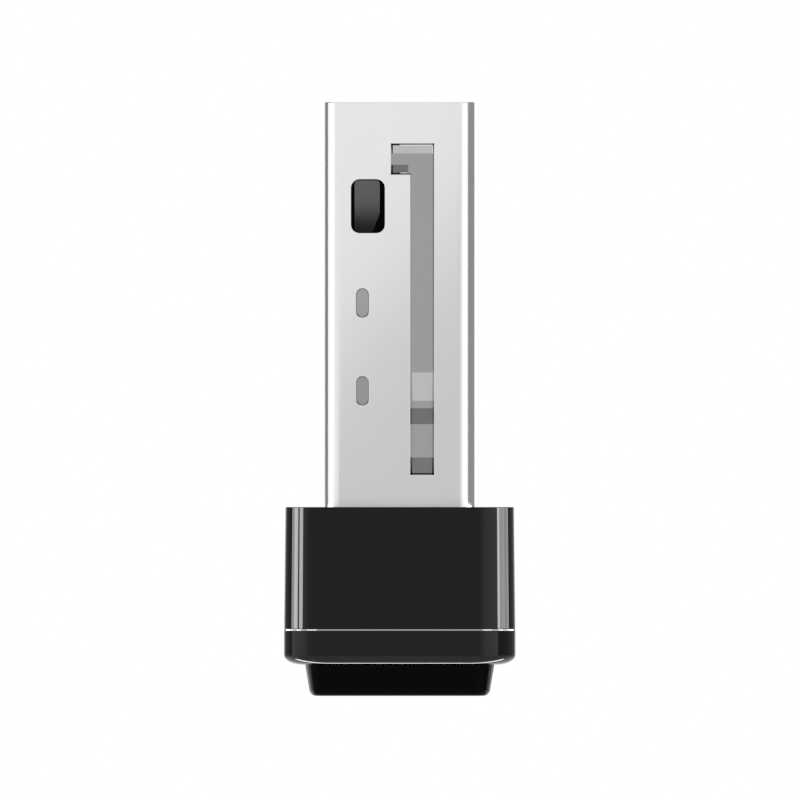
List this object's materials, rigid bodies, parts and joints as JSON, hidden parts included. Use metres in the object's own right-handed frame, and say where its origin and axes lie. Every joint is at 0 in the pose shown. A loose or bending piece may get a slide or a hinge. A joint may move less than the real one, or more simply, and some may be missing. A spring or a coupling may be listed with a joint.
{
  "type": "usb wifi adapter",
  "caption": "Tiny USB wireless adapter: folded steel plug with a contact tongue and hooked side slots, glossy black sleeve, base ring and smoked end cap.",
  "frame": {"origin": "middle of the end cap's flat face, on the plug's axis", "axes": "+Z along the plug towards its tip; X is the thin way through the plug, with the contact tongue on the -X half and the open cavity on the +X half; Y is the wide way"},
  "size_m": [0.007, 0.015, 0.0178],
  "materials": {
    "plated_steel": "smooth bright nickel plate over stamped steel",
    "spring_steel": "satin spring steel, sheared edges",
    "black_moulding": "fine satin black glass-filled plastic",
    "gold_plate": "gold flash over copper alloy",
    "solder": "bright tin solder",
    "board_laminate": "green solder mask on glass laminate",
    "chip_black": "moulded epoxy",
    "crystal_lid": "seam-welded metal lid",
    "ferrite": "dark ferrite",
    "antenna_ceramic": "white dielectric ceramic",
    "lamp_lens": "clear lens over the lamp",
    "capacitor_ceramic": "tan ceramic with tinned ends",
    "resistor_black": "black glaze with tinned ends",
    "gloss_black": "piano black, mirror gloss",
    "satin_black": "black, slightly softer gloss",
    "smoked_black": "smoked plastic that looks nearly black"
  },
  "bodies": {
    "root": {"usb_shell": "plated_steel", "front_side_latch": "spring_steel", "back_side_latch": "spring_steel", "contact_carrier": "black_moulding", "carrier_cover": "black_moulding", "board_holder": "black_moulding", "contact_vbus": "gold_plate", "contact_d_minus": "gold_plate", "contact_d_plus": "gold_plate", "contact_ground": "gold_plate", "contact_solder": "solder", "circuit_board": "board_laminate", "wifi_chip": "chip_black", "voltage_regulator": "chip_black", "crystal": "crystal_lid", "power_inductor": "ferrite", "matching_inductor": "ferrite", "chip_antenna": "antenna_ceramic", "status_led": "lamp_lens", "input_capacitor": "capacitor_ceramic", "output_capacitor": "capacitor_ceramic", "decoupling_capacitors": "capacitor_ceramic", "crystal_capacitors": "capacitor_ceramic", "matching_capacitors": "capacitor_ceramic", "bias_resistor": "resistor_black", "led_resistor": "resistor_black", "housing_sleeve": "gloss_black", "base_ring": "satin_black", "end_cap": "smoked_black"}
  },
  "joints": []
}
